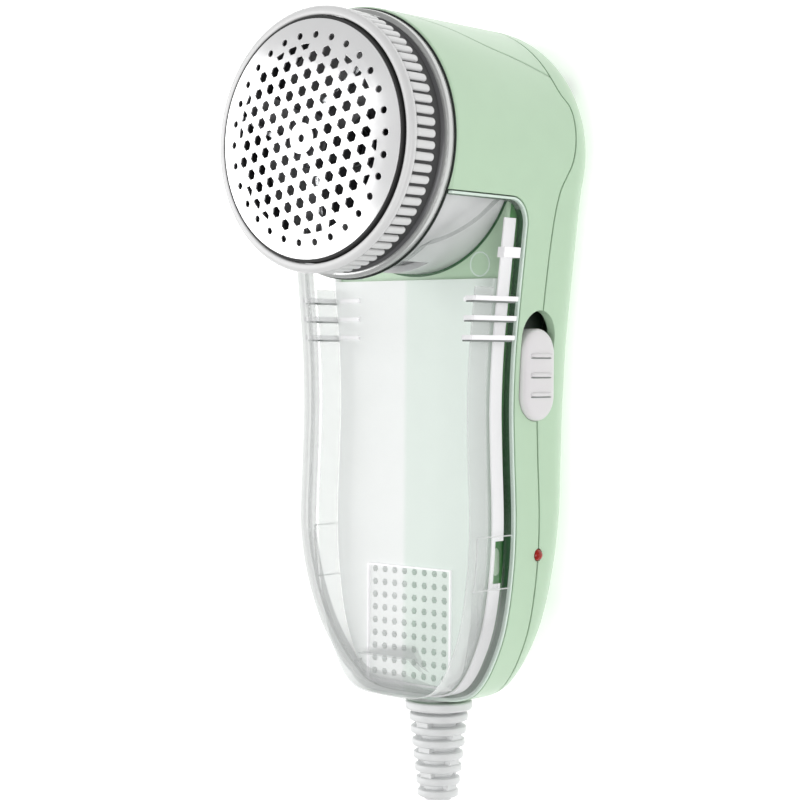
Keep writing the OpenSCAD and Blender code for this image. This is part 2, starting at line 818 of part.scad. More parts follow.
// Cord: free stretch down to the floor, a neat flat coil, and the lead to the plug
cord_route = [[0, -94, 23.5], [0, -98, 23.5], [0.2, -102, 23.1], [0.9, -106, 22.2], [2.3, -110, 20.7],
    [4.3, -114, 18.6], [6.8, -118, 16], [9.7, -122, 13.1], [12.6, -126, 10.1], [15.2, -130, 7.3],
    [17.3, -134, 5], [18.8, -138, 3.5], [19.7, -142, 2.7], [20, -146, 2.5], [20, -150, 2.5]];
plug_route = [[-14.6, -130, 12.5], [-7.5, -131, 13], [-1, -135, 14.6], [4, -140.5, 16.6],
    [6.5, -147.5, 18.6], [6.8, -155, 20.2], [4.4, -162, 21.2], [-0.4, -167.6, 21.7],
    [-7, -171, 21.8], [-11, -171.6, 21.8], [-15, -171.6, 21.8]];
// The coil winds in three layers of turns, from r = coil_mid + coil_build down to coil_mid - coil_build
coil_mid = 27.3;
coil_build = 7.3;
coil_layers = 3;
coil_x = 20 - coil_mid - coil_build;
coil_y = -150;
cord_sides = 10;
module sweep(route, r, sides) {
    n = len(route);
    points = [for (i = [0:n - 1])
        let (t = unit(route[min(i + 1, n - 1)] - route[max(i - 1, 0)]),
            side = unit(cross(t, [0, 0, 1])),
            up = cross(side, t))
        for (k = [0:sides - 1])
            route[i] + r * cos(360 * k / sides) * side + r * sin(360 * k / sides) * up];
    skin = [for (i = [0:n - 2], k = [0:sides - 1])
        let (m = (k + 1) % sides)
        [i * sides + k, i * sides + m, (i + 1) * sides + m, (i + 1) * sides + k]];
    polyhedron(points, concat(skin, [[for (k = [sides - 1:-1:0]) k]],
        [[for (k = [0:sides - 1]) (n - 1) * sides + k]]));
}
module mains_cord() {
    color(white) sweep(cord_route, cord_d / 2, cord_sides);
}
module cord_coil() {
    breadth = 2 * coil_build + cord_d;
    color(white) translate([coil_x, coil_y, 0]) rotate_extrude()
        translate([coil_mid - breadth / 2, 0]) square([breadth, coil_layers * cord_d]);
}
module plug_lead() {
    color(white) sweep(plug_route, cord_d / 2, cord_sides);
}

// Two-pin plug lying on its flat side across the coil
plug_x = -15;
plug_y = -171.6;
plug_z = 21.8;
plug_l = 33;
pin_spacing = 19;
pin_r = 2;
pin_l = 17;
module plug_body() {
    color(white) hull() {
        translate([plug_x, plug_y, plug_z]) rotate([0, -90, 0]) cylinder(r = 4, h = 4, $fn = 32);
        translate([plug_x - 14, plug_y, plug_z]) for (s = [-1, 1])
            translate([0, s * 6.2, 0]) rotate([0, -90, 0]) cylinder(r = 6.8, h = plug_l - 14, $fn = 32);
    }
}
module plug_pins() {
    color(steel) for (s = [-1, 1])
        translate([plug_x - plug_l, plug_y + s * pin_spacing / 2, plug_z]) {
            rotate([0, -90, 0]) cylinder(r = pin_r, h = pin_l);
            translate([-pin_l, 0, 0]) sphere(r = pin_r);
        }
}

rear_housing();
front_housing();
top_cover();
lint_duct();
head_flange();
motor_can();
motor_end_cap();
motor_bushings();
motor_magnets();
motor_brushes();
motor_screws();
circuit_board();
film_capacitor();
filter_capacitor();
diodes();
led_lamp();
switch_body();
lead_wires();
housing_screws();
cord_clamp();
clamp_screws();
strain_relief();
motor_shaft();
armature_core();
armature_windings();
commutator();
fan_impeller();
drive_dog();
cutter_spring();
cutter_hub();
cutter_blades();
shaving_screen();
screen_gasket();
lock_ring();
lint_tank();
tank_back();
switch_knob();
mains_cord();
cord_coil();
plug_lead();
plug_body();
plug_pins();
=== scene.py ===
import json
import math

import bmesh
import bpy
import numpy as np
from mathutils import Matrix, Vector


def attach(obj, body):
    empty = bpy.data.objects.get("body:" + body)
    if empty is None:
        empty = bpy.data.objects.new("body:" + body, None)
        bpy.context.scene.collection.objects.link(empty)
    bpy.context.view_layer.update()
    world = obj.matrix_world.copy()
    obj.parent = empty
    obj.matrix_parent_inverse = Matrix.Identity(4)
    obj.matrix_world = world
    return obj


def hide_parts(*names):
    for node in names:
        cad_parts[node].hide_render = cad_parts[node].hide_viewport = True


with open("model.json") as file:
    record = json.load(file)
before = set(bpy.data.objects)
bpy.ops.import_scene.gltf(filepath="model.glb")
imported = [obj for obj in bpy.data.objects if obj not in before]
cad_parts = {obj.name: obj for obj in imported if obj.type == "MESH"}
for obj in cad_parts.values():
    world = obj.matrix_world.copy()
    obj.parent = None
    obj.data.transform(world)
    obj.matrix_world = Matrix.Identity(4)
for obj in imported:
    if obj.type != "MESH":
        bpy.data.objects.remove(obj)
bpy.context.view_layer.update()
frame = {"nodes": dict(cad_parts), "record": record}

MM = 0.001

# Sizes shared with the CAD part, in millimetres
HEAD_R, HEAD_Y = 31.5, 62.5
BARREL_TOP, BARREL_ROUND, RIM_Z, TANK_FRONT = 56.5, 0.8, 28.0, 52.5
WALL, BACK_ROUND = 2.2, 12.0
BACK_LIFT, BACK_FROM_Y, BACK_RUN, BACK_CURVE = 7.2, 8.0, 71.0, 1.3
FRONT_DROP, FRONT_FROM_Y, FRONT_RUN, FRONT_CURVE = 8.5, -25.0, 40.0, 1.6
PLATFORM_Z, PLATFORM_INSET, PLATFORM_WALL, PLATFORM_HALF_W = 32.5, 2.6, 2.8, 22.7
PLATFORM_STRAIGHT_Y, BAY_END, BAY_ROUND = 3.0, 50.0, 6.0
DUCT_R = 29.0
RING_R, GRIP_LOW, GRIP_HIGH, GRIP_BARS = 30.0, 61.8, 68.4, 72
TANK_WALL, TANK_ROUND, TANK_DRAFT = 1.8, 11.0, 0.6
BACK_PANEL_Z, BACK_PANEL_T = 33.2, 1.6
FACE_Z = BACK_PANEL_Z + BACK_PANEL_T
SWITCH_Y, SWITCH_Z, SLOT_R, SLOT_L = 11.8, 19.2, 6.4, 26.2
KNOB_R, KNOB_L, KNOB_SHIFT = 6.0, 21.8, -2.1
LAMP_Y, LAMP_Z, LAMP_R = -33.0, 18.4, 1.55
CORD_Z, CORD_R = 23.5, 2.5
NECK_HOLE_R, TANK_HOLE_R = 4.1, 9.0
CATCH_Y = -34.0
GAP = 0.1
SIDE_POINTS = [(0, -69.3), (8, -69), (13, -67.6), (16.5, -64.8), (20, -59.4), (23.5, -50.4), (25.6, -38),
    (26.3, -25), (25.7, -9), (25.4, 3), (25.9, 15), (26.9, 25), (27.9, 34), (28.8, 42), (29.6, 49)]
COVER_POINTS = [(9, 58), (14.5, 45), (20.5, 35), (23.4, 25), (26, 15)]
SEAM_POINTS = [(-80, 18.4), (-30, 18.4), (10, 18.4), (38, 18), (52, 16.5), (60, 13), (67, 11.7), (73, 12),
    (79, 15), (100, 15)]
HANDLE_SCREWS = [(-16, -46), (16, -46), (-16.6, 27.4), (14.9, 27.6)]
DUCT_SCREWS = [(-19, 79), (19, 79)]
SCREWS = HANDLE_SCREWS + DUCT_SCREWS
SCREW_HOLE_R, SCREW_HEAD_R, BOSS_R, SCREW_SINK = 1.5, 2.8, 3.8, 6.5
ABOVE = 120.0  # past the top of the shaver
# Finer details of the finished pieces
SEAM_GAP, LIP_W, LIP_LINE = 0.24, 0.55, 0.3
# The next two lines also place the painted shadow lines beside the tank's ribs and the knob's bars
RIB_YS, RIB_SHADOW_NEAR, RIB_SHADOW_FAR = (27.3, 22.8, 18.3), 0.58, 0.95
BEAD_STEP, BEAD_X, BEAD_SHADOW_DROP = 4.6, 27.1, 0.66


# ---------------------------------------------------------------- camera
# Lens and film in millimetres, place in metres, angles in degrees
LENS, FILM = 90.374625, 36
CAMERA_PLACE = (0.31111, 0.01417, 0.39979)
CAMERA_TURN, CAMERA_TILT, CAMERA_ROLL = 40.748, 1.284, 0.387


def camera():
    """Looks at the shaver as the reference view does: turned about y, tilted a little, and rolled."""
    turn, tilt, roll = math.radians(CAMERA_TURN), math.radians(CAMERA_TILT), math.radians(CAMERA_ROLL)
    back = Vector((math.sin(turn) * math.cos(tilt), math.sin(tilt), math.cos(turn) * math.cos(tilt)))
    right = Vector((math.cos(turn), 0, -math.sin(turn)))
    up = back.cross(right)
    right, up = (math.cos(roll) * right + math.sin(roll) * up,
        math.cos(roll) * up - math.sin(roll) * right)
    data = bpy.data.cameras.new("camera")
    data.sensor_width = FILM
    data.lens = LENS
    data.clip_start, data.clip_end = 0.01, 10
    cam = bpy.data.objects.new("camera", data)
    m = Matrix((right, up, back)).transposed().to_4x4()
    m.translation = Vector(CAMERA_PLACE)
    cam.matrix_world = m
    bpy.context.collection.objects.link(cam)
    bpy.context.scene.camera = cam


camera()

# ---------------------------------------------------------------- cord, in millimetres
CORD_ROUTE = [(0, -94, 23.5), (0, -98, 23.5), (0.2, -102, 23.1), (0.9, -106, 22.2), (2.3, -110, 20.7),
    (4.3, -114, 18.6), (6.8, -118, 16), (9.7, -122, 13.1), (12.6, -126, 10.1), (15.2, -130, 7.3),
    (17.3, -134, 5), (18.8, -138, 3.5), (19.7, -142, 2.7), (20, -146, 2.5), (20, -150, 2.5)]
PLUG_ROUTE = [(-14.6, -130, 12.5), (-7.5, -131, 13), (-1, -135, 14.6), (4, -140.5, 16.6),
    (6.5, -147.5, 18.6), (6.8, -155, 20.2), (4.4, -162, 21.2), (-0.4, -167.6, 21.7),
    (-7, -171, 21.8), (-11, -171.6, 21.8), (-15, -171.6, 21.8)]
COIL_X, COIL_Y, COIL_OUT, COIL_IN = -14.6, -150, 34.6, 20.0
COIL_TURNS, COIL_LAYERS, COIL_STEPS = 2.9167, 3, 24
CLIMB_PART = 0.08


def coil_points():
    """Winds clockwise seen from above, inwards on the first layer, outwards on the next, then inwards."""
    total = COIL_TURNS * COIL_LAYERS
    steps = int(total * COIL_STEPS)
    points = []
    for i in range(1, steps):
        t = i / steps * COIL_LAYERS
        layer = min(int(t), COIL_LAYERS - 1)
        part = t - layer
        inwards = layer % 2 == 0
        radius = COIL_OUT - (COIL_OUT - COIL_IN) * (part if inwards else 1 - part)
        climb = max(0, part - (1 - CLIMB_PART)) / CLIMB_PART if layer < COIL_LAYERS - 1 else 0
        angle = -2 * math.pi * total * i / steps
        points.append((COIL_X + radius * math.cos(angle), COIL_Y + radius * math.sin(angle),
            CORD_R + 2 * CORD_R * (layer + climb)))
    return points


def length(points):
    return sum(float(np.linalg.norm(np.array(b) - np.array(a))) for a, b in zip(points, points[1:]))


cord_line = CORD_ROUTE + coil_points() + PLUG_ROUTE
curve = bpy.data.curves.new("mains_flex", "CURVE")
curve.dimensions = "3D"
curve.bevel_depth = 1.0  # each point's radius gives the thickness
curve.bevel_resolution = 6
spline_curve = curve.splines.new("POLY")
spline_curve.points.add(len(cord_line) - 1)
for point, place in zip(spline_curve.points, cord_line):
    point.co = (place[0] * MM, place[1] * MM, place[2] * MM, 1)
    point.radius = CORD_R * MM
spline_curve.use_smooth = True
cord_piece = bpy.data.objects.new("mains_flex", curve)
bpy.context.collection.objects.link(cord_piece)
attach(cord_piece, "housing")
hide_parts("mains_cord", "cord_coil", "plug_lead")


# ---------------------------------------------------------------- materials
def material(name, color, rough, metal=0.0, shade=0.03, scale=140.0, grain=0.02, grain_scale=2500.0,
        bevel=0.0, stretch=(1, 1, 1)):
    """Principled material: a cloudy colour, an uneven polish, a fine grain and softened edges."""
    m = bpy.data.materials.new(name)
    m.use_nodes = True
    tree = m.node_tree
    shader = tree.nodes["Principled BSDF"]
    shader.inputs["Metallic"].default_value = metal
    place = tree.nodes.new("ShaderNodeTexCoord")
    squeeze = tree.nodes.new("ShaderNodeMapping")
    squeeze.inputs["Scale"].default_value = stretch
    tree.links.new(place.outputs["Object"], squeeze.inputs["Vector"])
    cloud = tree.nodes.new("ShaderNodeTexNoise")
    cloud.inputs["Scale"].default_value = scale
    cloud.inputs["Detail"].default_value = 3
    tree.links.new(squeeze.outputs[0], cloud.inputs["Vector"])
    ramp = tree.nodes.new("ShaderNodeValToRGB")
    ramp.color_ramp.elements[0].position = 0.3
    ramp.color_ramp.elements[1].position = 0.7
    ramp.color_ramp.elements[0].color = (*[c * (1 - shade) for c in color], 1)
    ramp.color_ramp.elements[1].color = (*[min(1, c * (1 + shade)) for c in color], 1)
    tree.links.new(cloud.outputs[0], ramp.inputs[0])
    tree.links.new(ramp.outputs[0], shader.inputs["Base Color"])
    polish = tree.nodes.new("ShaderNodeMapRange")
    polish.inputs["To Min"].default_value = rough * 0.8
    polish.inputs["To Max"].default_value = min(1, rough * 1.2)
    tree.links.new(cloud.outputs[0], polish.inputs["Value"])
    tree.links.new(polish.outputs[0], shader.inputs["Roughness"])
    fine = tree.nodes.new("ShaderNodeTexNoise")
    fine.inputs["Scale"].default_value = grain_scale
    tree.links.new(squeeze.outputs[0], fine.inputs["Vector"])
    bump = tree.nodes.new("ShaderNodeBump")
    bump.inputs["Strength"].default_value = grain
    bump.inputs["Distance"].default_value = 0.0001
    tree.links.new(fine.outputs[0], bump.inputs["Height"])
    if bevel:
        edge = tree.nodes.new("ShaderNodeBevel")
        edge.samples = 4
        edge.inputs["Radius"].default_value = bevel * MM
        tree.links.new(edge.outputs[0], bump.inputs["Normal"])
    tree.links.new(bump.outputs[0], shader.inputs["Normal"])
    return m


def shader_of(m):
    return m.node_tree.nodes["Principled BSDF"]


def see_through(m, facing, grazing, start=0.0, end=1.0):
    """Makes a material clear where it faces the eye and denser where it is seen edge on."""
    tree = m.node_tree
    weight = tree.nodes.new("ShaderNodeLayerWeight")
    weight.inputs["Blend"].default_value = 0.5
    spread = tree.nodes.new("ShaderNodeMapRange")
    spread.interpolation_type = "SMOOTHSTEP"
    spread.inputs["From Min"].default_value = start
    spread.inputs["From Max"].default_value = end
    spread.inputs["To Min"].default_value = facing
    spread.inputs["To Max"].default_value = grazing
    tree.links.new(weight.outputs["Facing"], spread.inputs["Value"])
    tree.links.new(spread.outputs[0], shader_of(m).inputs["Alpha"])


def glow(m, strength):
    """Gives a material a faint white light of its own."""
    shader_of(m).inputs["Emission Color"].default_value = (1, 1, 1, 1)
    shader_of(m).inputs["Emission Strength"].default_value = strength


# Slot of the record -> its finish
LOOKS = {
    "shell_green": material("shell_green", (0.5, 0.685, 0.49), 0.32, shade=0.012, grain=0.05,
        bevel=0.35),
    "grey_plastic": material("grey_plastic", (0.76, 0.765, 0.77), 0.22, bevel=0.2),
    "white_plastic": material("white_plastic", (0.72, 0.72, 0.72), 0.25, shade=0.015, bevel=0.15),
    "bright_steel": material("bright_steel", (0.62, 0.63, 0.64), 0.3, metal=1, stretch=(1, 1, 12)),
    "black_plastic": material("black_plastic", (0.02, 0.02, 0.022), 0.5, shade=0.1),
    "bronze": material("bronze", (0.42, 0.24, 0.1), 0.4, metal=1, grain=0.2),
    "ferrite": material("ferrite", (0.05, 0.05, 0.055), 0.6, shade=0.15, grain=0.3),
    "graphite": material("graphite", (0.03, 0.028, 0.026), 0.45, shade=0.2, grain=0.3),
    "board": material("board", (0.02, 0.14, 0.05), 0.35, shade=0.1, stretch=(3, 1, 1)),
    "red_film": material("red_film", (0.5, 0.04, 0.02), 0.2, shade=0.08),
    "blue_sleeve": material("blue_sleeve", (0.02, 0.03, 0.1), 0.25, shade=0.08),
    "lamp_red": material("lamp_red", (0.36, 0.008, 0.002), 0.12, shade=0.2, scale=900),
    "wire_red": material("wire_red", (0.3, 0.02, 0.015), 0.4, shade=0.06),
    "cord_white": material("cord_white", (0.74, 0.75, 0.75), 0.42, shade=0.02, grain=0.12, bevel=0.2),
    "core_steel": material("core_steel", (0.2, 0.2, 0.21), 0.4, metal=1, grain=0.5, grain_scale=1500,
        stretch=(0.05, 0.05, 1)),
    "copper": material("copper", (0.55, 0.2, 0.08), 0.3, metal=1, grain=0.5, grain_scale=1800,
        stretch=(1, 1, 0.05)),
    "blade_steel": material("blade_steel", (0.55, 0.56, 0.57), 0.22, metal=1, grain=0.3,
        stretch=(1, 12, 1)),
    "screen_chrome": material("screen_chrome", (0.93, 0.93, 0.935), 0.16, metal=0.55, shade=0.02,
        scale=60, grain=0.02, bevel=0.12),
    "black_rubber": material("black_rubber", (0.006, 0.006, 0.006), 0.6, shade=0.2, grain=0.2),
    "clear_plastic": material("clear_plastic", (0.4, 0.415, 0.41), 0.06, shade=0.01, scale=40,
        grain=0.01),
    "frosted_plastic": material("frosted_plastic", (0.95, 0.97, 0.96), 0.5, shade=0.015, grain=0.3),
    "light_grey": material("light_grey", (0.78, 0.755, 0.77), 0.42, shade=0.015, grain=0.15,
        bevel=0.3),
    "plug_white": material("plug_white", (0.75, 0.75, 0.745), 0.4, shade=0.02, grain=0.15, bevel=0.3),
    "plated_pins": material("plated_pins", (0.66, 0.65, 0.62), 0.16, metal=1, bevel=0.15),
}
clear_look = LOOKS["clear_plastic"]
shader_of(clear_look).inputs["IOR"].default_value = 1.45
shader_of(clear_look).inputs["Specular IOR Level"].default_value = 0.4
see_through(clear_look, 0.02, 0.42, 0.355, 0.4)
see_through(LOOKS["frosted_plastic"], 0.86, 0.97)
glow(LOOKS["frosted_plastic"], 0.05)  # in place of light scattered inside the plastic
shader_of(LOOKS["shell_green"]).inputs["Coat Weight"].default_value = 0.25
shader_of(LOOKS["shell_green"]).inputs["Coat Roughness"].default_value = 0.12

# Finishes that only a few pieces have
# painted shade: dark green for the gaps and recesses round the tank's bay
painted_shade_green = material("painted_shade_green", (0.018, 0.1, 0.03), 0.4, shade=0.1)
# painted shade: darker green for the platform's foot under the deck
painted_half_shade_green = material("painted_half_shade_green", (0.1, 0.32, 0.1), 0.4, shade=0.08)
# painted shade: near black for the ring's core, seen between the bars
painted_shade_core = material("painted_shade_core", (0.02, 0.02, 0.021), 0.5, shade=0.1)
# painted shade: dark grey for the flange's cove in the groove under the ring
painted_shade_cove = material("painted_shade_cove", (0.13, 0.13, 0.135), 0.3, metal=0.3, shade=0.05)
silver_rim = material("silver_rim", (0.6, 0.61, 0.6), 0.18, metal=0.5, shade=0.015, bevel=0.1)
lip_white = material("lip_white", (0.72, 0.85, 0.76), 0.3, shade=0.02, bevel=0.1)
milky = material("milky", (0.97, 0.955, 0.975), 0.25, shade=0.01, bevel=0.15)
see_through(milky, 0.8, 0.95)
# painted light: the milky pieces glow faintly white, so they look brighter than the lamps make them
glow(milky, 0.16)
faint = material("faint", (0.93, 0.95, 0.94), 0.25, shade=0.01)
see_through(faint, 0.3, 0.6)
# painted shadow: grey for the dark lines beside the ribs and the knob's bars
painted_shadow_grey = material("painted_shadow_grey", (0.2, 0.22, 0.21), 0.4, shade=0.05)
# painted shade: near black for the shadow line under the flange and the plate behind the switch's slot
painted_shade_black = material("painted_shade_black", (0.006, 0.014, 0.008), 0.5, shade=0.1)
cutter_grey = material("cutter_grey", (0.1, 0.1, 0.105), 0.4, shade=0.1)
filter_grey = material("filter_grey", (0.93, 0.95, 0.94), 0.7, grain=0.4, grain_scale=4000)
cord_piece.data.materials.append(LOOKS["cord_white"])


def step_across(m, edge, width, left, right):
    """Colours a material one way on the left of a line along the shaver, and another on its right."""
    tree = m.node_tree
    split = tree.nodes.new("ShaderNodeSeparateXYZ")
    place = next(n for n in tree.nodes if n.type == "TEX_COORD")
    tree.links.new(place.outputs["Object"], split.inputs[0])
    blend = tree.nodes.new("ShaderNodeMapRange")
    blend.inputs["From Min"].default_value = (edge - width) * MM
    blend.inputs["From Max"].default_value = (edge + width) * MM
    tree.links.new(split.outputs["X"], blend.inputs["Value"])
    mix = tree.nodes.new("ShaderNodeMix")
    mix.data_type = "RGBA"
    mix.inputs["A"].default_value = (*left, 1)
    mix.inputs["B"].default_value = (*right, 1)
    tree.links.new(blend.outputs[0], mix.inputs["Factor"])
    tint = tree.nodes.new("ShaderNodeMix")
    tint.data_type = "RGBA"
    tint.blend_type = "MULTIPLY"
    tint.inputs["Factor"].default_value = 1
    ramp = next(n for n in tree.nodes if n.type == "VALTORGB")
    tree.links.new(mix.outputs["Result"], tint.inputs["A"])
    tree.links.new(ramp.outputs[0], tint.inputs["B"])
    tree.links.new(tint.outputs["Result"], shader_of(m).inputs["Base Color"])


# painted reflection: the frosted panel is pure white left of x = -1.7 mm and greener to its right, as a
# softbox's reflection on the tank's front
step_across(LOOKS["frosted_plastic"], -1.7, 0.7, (1, 1, 1), (0.85, 0.92, 0.87))

SHARP = 32
slot_of = {s["node"]: s["material_slot"] for s in frame["record"]["subparts"]}
for node, piece in frame["nodes"].items():
    piece.data.materials.clear()
    piece.data.materials.append(LOOKS[slot_of[node]])
    piece.data.shade_smooth()
    piece.data.set_sharp_from_angle(angle=math.radians(SHARP))
for node in ("cutter_hub", "fan_impeller", "drive_dog"):
    frame["nodes"][node].data.materials[0] = cutter_grey


# ---------------------------------------------------------------- mesh tools, in millimetres
def mesh_from(name, points, faces):
    mesh = bpy.data.meshes.new(name)
    mesh.from_pydata([tuple(float(c) for c in p) for p in points], [], faces)
    shape = bmesh.new()
    shape.from_mesh(mesh)
    bmesh.ops.remove_doubles(shape, verts=shape.verts, dist=1e-4)
    bmesh.ops.recalc_face_normals(shape, faces=shape.faces)
    shape.to_mesh(mesh)
    shape.free()
    return mesh


def skin_faces(count, n, first=0):
    """Faces round a stack of count rings of n points each, with a cap at both ends."""
    faces = [(i * n + j, i * n + (j + 1) % n, (i + 1) * n + (j + 1) % n, (i + 1) * n + j)
        for i in range(count - 1) for j in range(n)]
    faces += [tuple(range(n)), tuple(range((count - 1) * n, count * n))]
    return [tuple(first + k for k in face) for face in faces]


def solid(points, faces):
    """A new object in the scene, still in millimetres."""
    shape = bpy.data.objects.new("scratch", mesh_from("scratch", points, faces))
    bpy.context.collection.objects.link(shape)
    return shape


def skin(rings):
    """Closed solid through rings that have the same number of points."""
    return solid([p for ring_points in rings for p in ring_points], skin_faces(len(rings), len(rings[0])))


def cut(first, operation, others):
    """Joins, cuts or trims first by each of others, which are used up."""
    for other in others:
        tool = first.modifiers.new("cut", "BOOLEAN")
        tool.operation = operation
        tool.object = other
        tool.solver = "MANIFOLD"
    bpy.context.view_layer.update()
    result = bpy.data.meshes.new_from_object(first.evaluated_get(bpy.context.evaluated_depsgraph_get()))
    first.modifiers.clear()
    first.data = result
    for other in others:
        bpy.data.objects.remove(other)
    if len(result.polygons) == 0:
        raise RuntimeError("a cut left nothing")
    return first


def finish_piece(shape, name, body, look, nodes=(), sharp=SHARP):
    """Names a shape, turns millimetres into metres, and puts it on its body with its look.

    nodes are the CAD nodes that it stands for.
    """
    shape.name = name
    shape.data.name = name
    shape.data.transform(Matrix.Scale(MM, 4))
    shape.data.materials.clear()
    shape.data.materials.append(look)
    shape.data.polygons.foreach_set("material_index", [0] * len(shape.data.polygons))
    shape.data.shade_smooth()
    shape.data.set_sharp_from_angle(angle=math.radians(sharp))
    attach(shape, body)
    if nodes:
        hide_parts(*nodes)
    return shape


def spline(points, steps):
    """Catmull-Rom curve through points."""
    out = []
    last = len(points) - 1
    for i in range(last):
        a, b, c, d = (np.array(points[max(0, min(last, k))], float) for k in (i - 1, i, i + 1, i + 2))
        for k in range(steps):
            t = k / steps
            out.append(0.5 * (2 * b + (c - a) * t + (2 * a - 5 * b + 4 * c - d) * t * t
                + (3 * b - a - 3 * c + d) * t ** 3))
    out.append(np.array(points[-1], float))
    return np.array(out)


def spaced(line, n):
    """The same line with n points at even distances."""
    run = np.concatenate([[0], np.cumsum(np.linalg.norm(np.diff(line, axis=0), axis=1))])
    at = np.linspace(0, run[-1], n)
    return np.stack([np.interp(at, run, line[:, k]) for k in range(line.shape[1])], 1)


def softened(values, width):
    """Running average round a closed line."""
    kernel = np.hanning(2 * width + 3)[1:-1]
    kernel /= kernel.sum()
    wrapped = np.concatenate([values[-width:], values, values[:width]])
    return np.stack([np.convolve(wrapped[:, k], kernel, "valid") for k in range(values.shape[1])], 1)


# The shaver's outline seen from above, and which way is outwards at each of its points
HALF_N = 280
arc = np.radians(np.arange(-16, 90.5, 2))
right_side = np.concatenate([spline(SIDE_POINTS, 12),
    np.stack([HEAD_R * np.cos(arc), HEAD_Y + HEAD_R * np.sin(arc)], 1)])
right_side[-1] = (0, HEAD_Y + HEAD_R)
right_side = spaced(right_side, HALF_N)
COUNT = 2 * HALF_N - 2
outline = np.concatenate([right_side, right_side[-2:0:-1] * (-1, 1)])
outline = softened(outline, 2)
along_line = np.roll(outline, -1, 0) - np.roll(outline, 1, 0)
along_line /= np.linalg.norm(along_line, axis=1)[:, None]
normals = softened(np.stack([along_line[:, 1], -along_line[:, 0]], 1), 4)
normals /= np.linalg.norm(normals, axis=1)[:, None]


def plan(d):
    """The shaver's outline seen from above, moved inwards by d."""
    return outline - d * normals


def platform_plan(d):
    """The same for the platform under the tank, which has straight sides."""
    p = plan(d)
    limit = PLATFORM_HALF_W + PLATFORM_INSET - d
    low = p[:, 1] < PLATFORM_STRAIGHT_Y
    p[low, 0] = np.clip(p[low, 0], -limit, limit)
    return p


def back_z(y):
    """Height of the back, which rises towards the cord."""
    return BACK_LIFT * np.clip((BACK_FROM_Y - y) / BACK_RUN, 0, 1) ** BACK_CURVE


def front_z(y):
    """Height of the tank's front, which falls towards the cord."""
    return TANK_FRONT - FRONT_DROP * np.clip((FRONT_FROM_Y - y) / FRONT_RUN, 0, 1) ** FRONT_CURVE


def ring(p, z):
    """Outline p at height z, which is one height or a height for each point."""
    return np.column_stack([p, np.full(len(p), z) if np.isscalar(z) else z])


def loft(rings):
    """Closed solid through rings of points, with end caps of strips across the shaver."""
    n = COUNT
    points = np.concatenate(rings)
    faces = [(k * n + j, (k + 1) * n + j, (k + 1) * n + (j + 1) % n, k * n + (j + 1) % n)
        for k in range(len(rings) - 1) for j in range(n)]
    last = (len(rings) - 1) * n
    strips = [(0, 1, n - 1)] + [(j, j + 1, n - j - 1, n - j) for j in range(1, HALF_N - 2)]
    strips.append((HALF_N - 2, HALF_N - 1, n - HALF_N + 2))
    for strip in strips:
        faces.append(strip)
        faces.append(tuple(i + last for i in reversed(strip)))
    return solid(points, faces)


def back_solid(t, top, steps):
    """The back with its rounded edge, t inside the outer surface."""
    rings = []
    for a in np.radians(np.linspace(90, 0, steps)):
        inwards = t + (BACK_ROUND - t) * (1 - math.cos(a))
        z = back_z(outline[:, 1]) + t + (BACK_ROUND - t) * (1 - math.sin(a))
        rings.append(ring(outline - inwards * normals, z))
    rings.append(ring(plan(t), top))
    return loft(rings)


def tank_solid(t, bottom, steps=14):
    """The tank with its rounded edge, t inside the outer surface."""
    rings = [ring(plan(GAP + t), bottom)]
    for a in np.radians(np.linspace(0, 90, steps)):
        inwards = GAP + TANK_DRAFT + t + (TANK_ROUND - t) * (1 - math.cos(a))
        z = front_z(outline[:, 1]) - t - (TANK_ROUND - t) * (1 - math.sin(a))
        rings.append(ring(outline - inwards * normals, z))
    return loft(rings)


def prism(d, low, high, round_top=0.0, shape=plan):
    """Upright solid of the outline moved inwards by d."""
    rings = [ring(shape(d), low)]
    if round_top:
        for a in np.radians([0, 22, 45, 67, 90]):
            inwards, down = round_top * (1 - math.cos(a)), round_top * (1 - math.sin(a))
            rings.append(ring(shape(d + inwards), high - down))
    else:
        rings.append(ring(shape(d), high))
    return loft(rings)


def extruded(outline_2d, low, high, turn):
    """Solid prism of a closed outline; turn maps (u, v, w) to a place."""
    return skin([[turn(u, v, w) for u, v in outline_2d] for w in (low, high)])


def across(outline_yz, half=100):
    return extruded(outline_yz, -half, half, lambda u, v, w: (w, u, v))


def along(outline_xz, low, high):
    return extruded(outline_xz, low, high, lambda u, v, w: (u, w, v))


def upright(outline_xy, low, high):
    return extruded(outline_xy, low, high, lambda u, v, w: (u, v, w))


def block(x, y, z):
    return upright([(x[0], y[0]), (x[1], y[0]), (x[1], y[1]), (x[0], y[1])], *z)


def circle(r, n=48, at=(0, 0)):
    return [(at[0] + r * math.cos(2 * math.pi * k / n), at[1] + r * math.sin(2 * math.pi * k / n))
        for k in range(n)]


def lathe(profile, n=192, centre=(0, HEAD_Y, 0), axis="z"):
    """Closed ring or disc turned from a closed (radius, height) profile."""
    points, faces = [], []
    m = len(profile)
    for k in range(n):
        a = 2 * math.pi * k / n
        for r, h in profile:
            if axis == "z":
                points.append((centre[0] + r * math.cos(a), centre[1] + r * math.sin(a), centre[2] + h))
            else:
                points.append((centre[0] + r * math.cos(a), centre[1] - h, centre[2] + r * math.sin(a)))
    for k in range(n):
        for j in range(m):
            a, b = k * m + j, k * m + (j + 1) % m
            c, d = ((k + 1) % n) * m + (j + 1) % m, ((k + 1) % n) * m + j
            faces.append((a, b, c, d))
    return solid(points, faces)


def below_seam(lift):
    """Everything under the seam between front and back."""
    seam = spline(SEAM_POINTS, 8)
    return across([(100, -10), (-80, -10)] + [(p[0], p[1] + lift) for p in seam])


